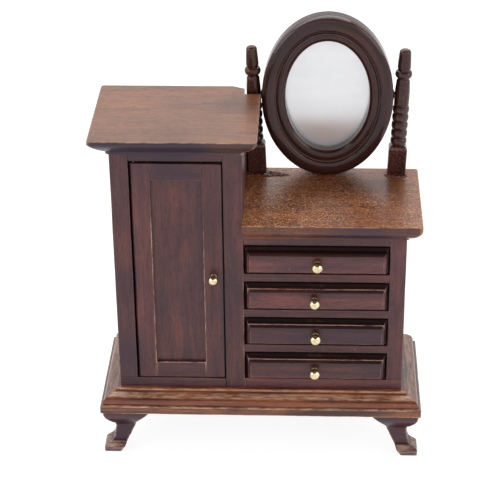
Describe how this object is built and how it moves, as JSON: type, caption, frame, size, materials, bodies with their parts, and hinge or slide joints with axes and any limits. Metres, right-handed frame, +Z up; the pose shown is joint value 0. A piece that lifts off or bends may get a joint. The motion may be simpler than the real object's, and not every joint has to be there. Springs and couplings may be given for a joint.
{
  "type": "miniature dressing table",
  "caption": "Dolls house dressing table: a tall cupboard beside a case of drawers, with an oval tilting mirror between two turned posts.",
  "frame": {"origin": "on the ground, at the middle of the outline", "axes": "+Z up, +X to the right seen from the front, the front faces -Y"},
  "size_m": [0.1124, 0.0462, 0.1501],
  "materials": {
    "carcass_wood": "dark walnut stain under glossy varnish",
    "top_wood": "red-brown stain under varnish, worn lighter",
    "turned_wood": "very dark brown stain, glossy varnish",
    "drawer_wood": "thinly stained, no varnish",
    "backing_board": "thin plywood, matt stain",
    "brass": "polished",
    "mirror_glass": "silvered glass"
  },
  "bodies": {
    "carcass": {"base_board": "carcass_wood", "plinth_moulding_front": "carcass_wood", "plinth_moulding_left": "carcass_wood", "plinth_moulding_right": "carcass_wood", "foot_front_left": "carcass_wood", "foot_front_right": "carcass_wood", "foot_back_left": "carcass_wood", "foot_back_right": "carcass_wood", "cupboard_side": "carcass_wood", "partition": "carcass_wood", "case_side": "carcass_wood", "back_panel": "backing_board", "cupboard_bottom": "carcass_wood", "cupboard_top_rail": "carcass_wood", "case_bottom": "carcass_wood", "case_top_rail": "carcass_wood", "drawer_divider_1": "carcass_wood", "drawer_divider_2": "carcass_wood", "drawer_divider_3": "carcass_wood", "cornice": "top_wood", "lower_top": "top_wood", "post_left": "turned_wood", "post_right": "turned_wood", "hinge_pin_top": "brass", "hinge_pin_bottom": "brass"},
    "door": {"door_stile_hinge": "carcass_wood", "door_stile_closing": "carcass_wood", "door_rail_top": "carcass_wood", "door_rail_bottom": "carcass_wood", "door_panel": "carcass_wood", "door_knob": "brass"},
    "drawer_1": {"drawer_1_front": "carcass_wood", "drawer_1_side_left": "drawer_wood", "drawer_1_side_right": "drawer_wood", "drawer_1_back": "drawer_wood", "drawer_1_bottom": "drawer_wood", "drawer_1_knob": "brass"},
    "drawer_2": {"drawer_2_front": "carcass_wood", "drawer_2_side_left": "drawer_wood", "drawer_2_side_right": "drawer_wood", "drawer_2_back": "drawer_wood", "drawer_2_bottom": "drawer_wood", "drawer_2_knob": "brass"},
    "drawer_3": {"drawer_3_front": "carcass_wood", "drawer_3_side_left": "drawer_wood", "drawer_3_side_right": "drawer_wood", "drawer_3_back": "drawer_wood", "drawer_3_bottom": "drawer_wood", "drawer_3_knob": "brass"},
    "drawer_4": {"drawer_4_front": "carcass_wood", "drawer_4_side_left": "drawer_wood", "drawer_4_side_right": "drawer_wood", "drawer_4_back": "drawer_wood", "drawer_4_bottom": "drawer_wood", "drawer_4_knob": "brass"},
    "mirror": {"mirror_frame": "turned_wood", "mirror_glass": "mirror_glass", "mirror_back": "backing_board", "mirror_pin_left": "turned_wood", "mirror_pin_right": "turned_wood"}
  },
  "joints": [
    {"name": "door_swing", "type": "hinge", "parent": "carcass", "child": "door", "pos_m": [-0.04155, -0.0143, 0.06975], "axis": [0, 0, -1], "range_deg": [0, 100]},
    {"name": "drawer_1_slide", "type": "slide", "parent": "carcass", "child": "drawer_1", "axis": [0, -1, 0], "range_m": [0, 0.024]},
    {"name": "drawer_2_slide", "type": "slide", "parent": "carcass", "child": "drawer_2", "axis": [0, -1, 0], "range_m": [0, 0.024]},
    {"name": "drawer_3_slide", "type": "slide", "parent": "carcass", "child": "drawer_3", "axis": [0, -1, 0], "range_m": [0, 0.024]},
    {"name": "drawer_4_slide", "type": "slide", "parent": "carcass", "child": "drawer_4", "axis": [0, -1, 0], "range_m": [0, 0.024]},
    {"name": "mirror_tilt", "type": "hinge", "parent": "carcass", "child": "mirror", "pos_m": [0.0223, 0.0202, 0.121], "axis": [1, 0, 0], "range_deg": [-30, 30]}
  ]
}
